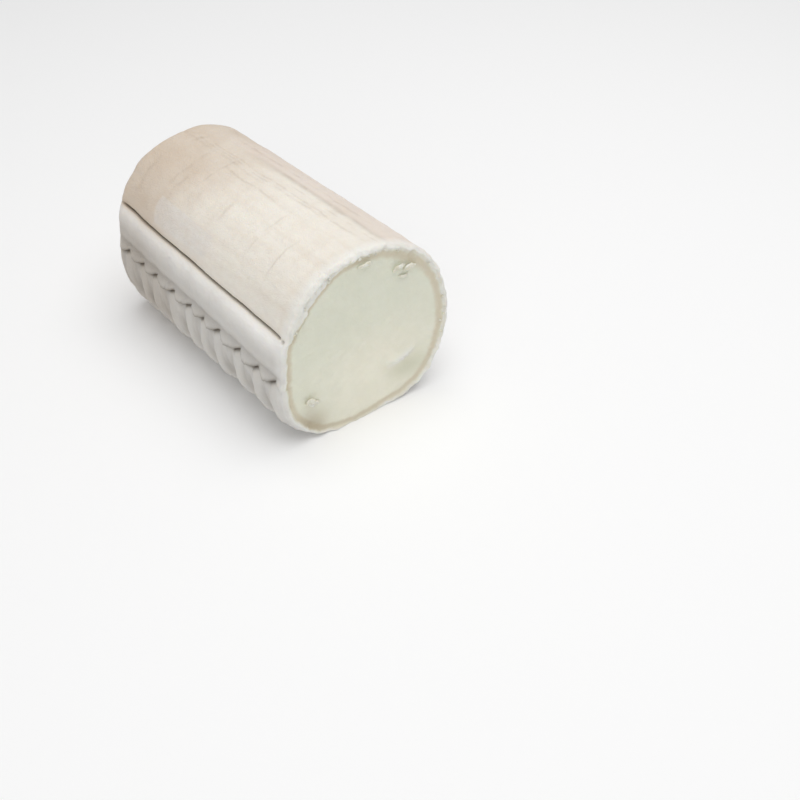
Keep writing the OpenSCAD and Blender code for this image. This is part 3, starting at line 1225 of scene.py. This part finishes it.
# %% Curls and crumbs
scrap_piece("low_curl", [
    curl_rings(curl_path((-27.0, -16.4), (1.5, 1.3), -70, 200, 1.5), 1.1, 0.7, 61),
    curl_rings(curl_path((-24.8, -18.0), (1.3, 1.1), 60, 260, 1.0), 0.85, 0.55, 63),
    lump_rings((-26.6, -16.8, 0.8), (1.0, 1.2, 1.1), 62),
    lump_rings((-24.4, -17.4, 0.5), (0.8, 0.9, 0.8), 64),
])
scrap_piece("high_curl", [
    curl_rings(curl_path((15.2, 24.0), (2.6, 1.8), 190, 20, 1.2), 0.95, 0.5, 65),
    curl_rings(curl_path((19.4, 22.6), (2.6, 1.6), 175, 0, 1.1), 1.0, 0.55, 67),
    curl_rings(curl_path((17.0, 21.6), (2.2, 0.9), 200, 330, 0.5), 0.6, 0.35, 68),
    curl_rings(curl_path((0.8, 30.4), (3.2, 1.6), 150, 10, 1.0), 0.9, 0.45, 69),
])

top_crumbs = 18
right_crumbs = 8
crumb_count = top_crumbs + right_crumbs
crumb_rise = 0.15
draw = np.random.default_rng(71)
crumb_turn = [draw.uniform(60, 160, top_crumbs), draw.uniform(-30, 40, right_crumbs)]
crumb_turn = np.concatenate(crumb_turn)
crumb_size = draw.uniform(0.25, 0.6, crumb_count)
crumb_depth = draw.uniform(1.7, 3.4, crumb_count)
crumb_r = plain_radius(crumb_turn, 0.0) - crumb_depth
crumb_y = crumb_r * cosine(crumb_turn)
crumb_z = crumb_r * sine(crumb_turn)
crumbs = []
for k in range(crumb_count):
    crumb_sides = crumb_size[k] * draw.uniform(0.7, 1.3, 3)
    crumbs.append(lump_rings((crumb_y[k], crumb_z[k], crumb_rise), crumb_sides, 80 + k))
scrap_piece("crumbs", crumbs)

# %% [markdown]
# ## Floor, light and camera
#
# Pale food is lit softly, or its creases vanish and its top burns out. A large lamp hangs above, so
# the flank that faces the camera is darker than the top. A second one lights the cut, and a white
# world fills the rest. The camera looks down on the cut from the front right.

# %% Floor and light
floor_size = 8.0
floor_roughness = 0.9
world_strength = 0.44
light_aim = np.array([0, 0, 0.03])

bpy.ops.mesh.primitive_plane_add(size=floor_size)
floor = bpy.context.object
floor.name = "floor"
floor_material = bpy.data.materials.new("floor")
floor_material.use_nodes = True
floor_shader = floor_material.node_tree.nodes["Principled BSDF"].inputs
floor_shader["Base Color"].default_value = linear(250, 250, 250)
floor_shader["Roughness"].default_value = floor_roughness
floor.data.materials.append(floor_material)

world = bpy.data.worlds.new("studio")
bpy.context.scene.world = world
world.use_nodes = True
sky = world.node_tree.nodes["Background"].inputs
sky["Color"].default_value = (1.0, 1.0, 1.0, 1.0)
sky["Strength"].default_value = world_strength


def area_light(name, place, size, power):
    """A square lamp that looks at the middle of the log. Place and size are in metres."""
    lamp_data = bpy.data.lights.new(name, "AREA")
    lamp_data.size = size
    lamp_data.energy = power
    lamp = new_object(name, lamp_data)
    lamp.location = place
    aim = light_aim - np.array(place)
    lamp.rotation_euler = (np.arccos(-aim[2] / np.linalg.norm(aim)), 0, np.arctan2(-aim[0], aim[1]))


area_light("key", (0.1, 0.1, 0.95), 0.9, 6.0)
area_light("fill", (0.7, -0.75, 0.6), 0.8, 1.5)
print("floor and two lamps are in place")

# %% Camera
camera_side = 48.543
camera_height = 42.694
camera_from_cut = np.array([237.07, -193.62, 251.67])
camera_lens = 48.586
camera_sensor = 36.0

camera_data = bpy.data.cameras.new("camera")
camera_data.lens = camera_lens
camera_data.sensor_width = camera_sensor
camera = new_object("camera", camera_data)
camera.location = (axis_at_cut + camera_from_cut) * MM
camera.rotation_euler = (np.radians(90 - camera_height), 0, np.radians(camera_side))
bpy.context.scene.camera = camera
bpy.context.scene.view_settings.view_transform = "Standard"
print("camera at, mm:", (axis_at_cut + camera_from_cut).round(1))
